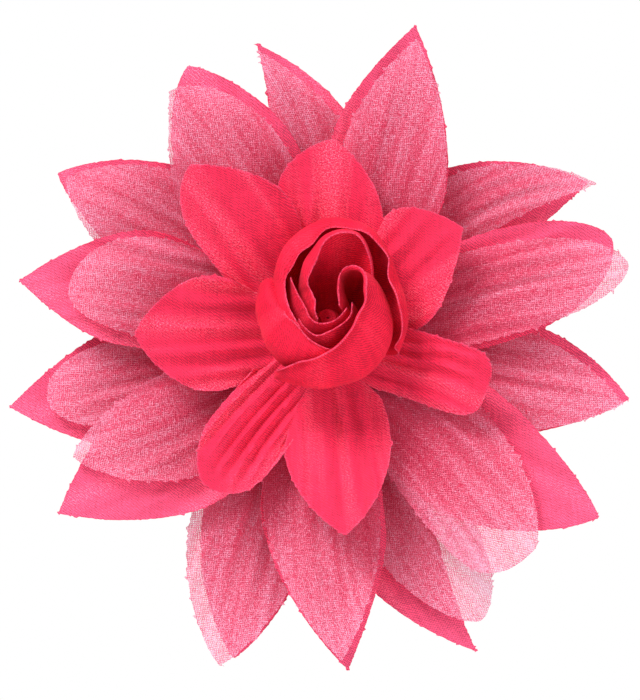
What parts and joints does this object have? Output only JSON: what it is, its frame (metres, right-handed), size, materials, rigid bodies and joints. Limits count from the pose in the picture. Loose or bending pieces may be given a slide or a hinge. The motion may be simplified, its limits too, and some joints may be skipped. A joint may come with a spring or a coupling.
{
  "type": "flower hair clip",
  "caption": "Fabric flower with a rolled rosebud, satin and sheer petal layers, glued to felt on a toothed alligator clip whose sprung lever opens the jaws.",
  "frame": {"origin": "on the flower's axis where the clip's teeth meet, at the height of the middle of the flower", "axes": "flower faces -Y, clip at the back on +Y, jaws point down to -Z, handles up to +Z, hinge pin along X"},
  "size_m": [0.1182, 0.0445, 0.1223],
  "materials": {
    "satin": "plain woven polyester, soft sheen, heat-cut edges",
    "organza": "sheer open weave, slightly crinkled",
    "felt": "matted felt",
    "glue": "hot-melt glue",
    "nylon": "moulded nylon",
    "plated_steel": "nickel plated sheet",
    "spring_steel": "drawn wire"
  },
  "bodies": {
    "flower": {"lower_petals": "satin", "lower_organza": "organza", "upper_petals": "satin", "upper_organza": "organza", "inner_petals": "satin", "bud_core": "satin", "bud_petal_1": "satin", "bud_petal_2": "satin", "bud_petal_3": "satin", "bud_petal_4": "satin", "bud_petal_5": "satin", "bud_petal_6": "satin", "bud_glue": "glue", "centre_peg": "nylon", "peg_collar": "nylon", "back_glue": "glue", "felt_disc": "felt", "arm_glue": "glue", "fixed_arm": "plated_steel", "clip_spring": "spring_steel", "hinge_pin": "plated_steel"},
    "lever": {"lever_arm": "plated_steel"}
  },
  "joints": [
    {"name": "clip_open", "type": "hinge", "parent": "flower", "child": "lever", "pos_m": [0, 0.0006, 0.006], "axis": [1, 0, 0], "range_deg": [0, 26], "stiffness_Nm_per_rad": 0.08, "springref_deg": -57.3, "deforming": ["clip_spring"]}
  ]
}
